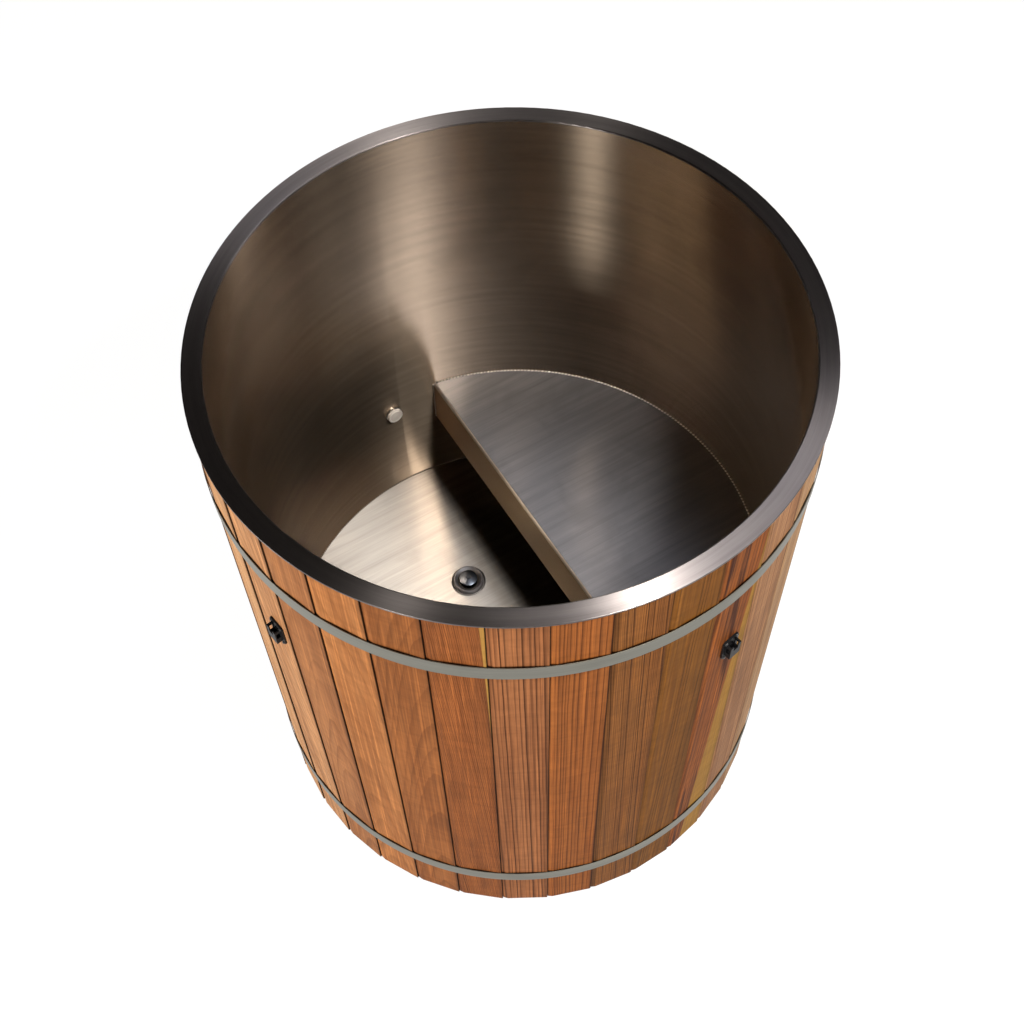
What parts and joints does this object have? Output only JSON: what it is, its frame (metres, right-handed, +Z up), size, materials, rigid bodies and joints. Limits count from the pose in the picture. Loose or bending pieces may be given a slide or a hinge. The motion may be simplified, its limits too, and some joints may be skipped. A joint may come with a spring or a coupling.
{
  "type": "cold plunge tub",
  "caption": "Round deep plunge tub: a brushed steel vessel with a seat, drain and flat rim, clad in wooden staves held by steel bands.",
  "frame": {"origin": "on the ground at the centre of the tub", "axes": "+Z up along the tub's axis; -Y is the front, and the bench lies towards +X"},
  "size_m": [0.915, 0.915, 1.084],
  "materials": {
    "vessel_steel": "brushed round the vessel",
    "rim_steel": "brushed along the rim",
    "band_steel": "mill finish strip",
    "frame_steel": "mill finish",
    "pipe_steel": "satin",
    "bolt_steel": "plain",
    "drain_chrome": "dark polished chrome",
    "cedar": "oiled red cedar, clear boards",
    "black_nylon": "moulded nylon",
    "plug_nylon": "moulded nylon, light grey",
    "black_screw": "black coated",
    "rubber": "moulded rubber",
    "foam": "closed-cell foam wrap"
  },
  "bodies": {
    "tub": {"vessel_wall": "vessel_steel", "vessel_floor": "vessel_steel", "rim_flange": "rim_steel", "bench_seat": "vessel_steel", "insulation_wrap": "foam", "floor_bearers": "frame_steel", "base_ring": "frame_steel", "foot_pads": "rubber", "upper_band": "band_steel", "lower_band": "band_steel", "band_bolts": "bolt_steel", "latch_1": "black_nylon", "latch_2": "black_nylon", "latch_3": "black_nylon", "latch_4": "black_nylon", "latch_screws": "black_screw", "port_socket": "pipe_steel", "port_plug": "plug_nylon", "drain_flange": "drain_chrome", "drain_gasket": "rubber", "drain_locknut": "bolt_steel", "drain_elbow": "black_nylon", "drain_pipe": "pipe_steel", "pipe_collars": "pipe_steel", "stave_01": "cedar", "stave_02": "cedar", "stave_03": "cedar", "stave_04": "cedar", "stave_05": "cedar", "stave_06": "cedar", "stave_07": "cedar", "stave_08": "cedar", "stave_09": "cedar", "stave_10": "cedar", "stave_11": "cedar", "stave_12": "cedar", "stave_13": "cedar", "stave_14": "cedar", "stave_15": "cedar", "stave_16": "cedar", "stave_17": "cedar", "stave_18": "cedar", "stave_19": "cedar", "stave_20": "cedar", "stave_21": "cedar", "stave_22": "cedar", "stave_23": "cedar", "stave_24": "cedar", "stave_25": "cedar", "stave_26": "cedar", "stave_27": "cedar", "stave_28": "cedar", "stave_29": "cedar", "stave_30": "cedar", "stave_31": "cedar", "stave_32": "cedar", "stave_33": "cedar", "stave_34": "cedar", "stave_35": "cedar"},
    "stopper": {"drain_stopper": "drain_chrome"}
  },
  "joints": [
    {"name": "stopper_travel", "type": "slide", "parent": "tub", "child": "stopper", "axis": [0, 0, 1], "range_m": [-0.009, 0]}
  ]
}
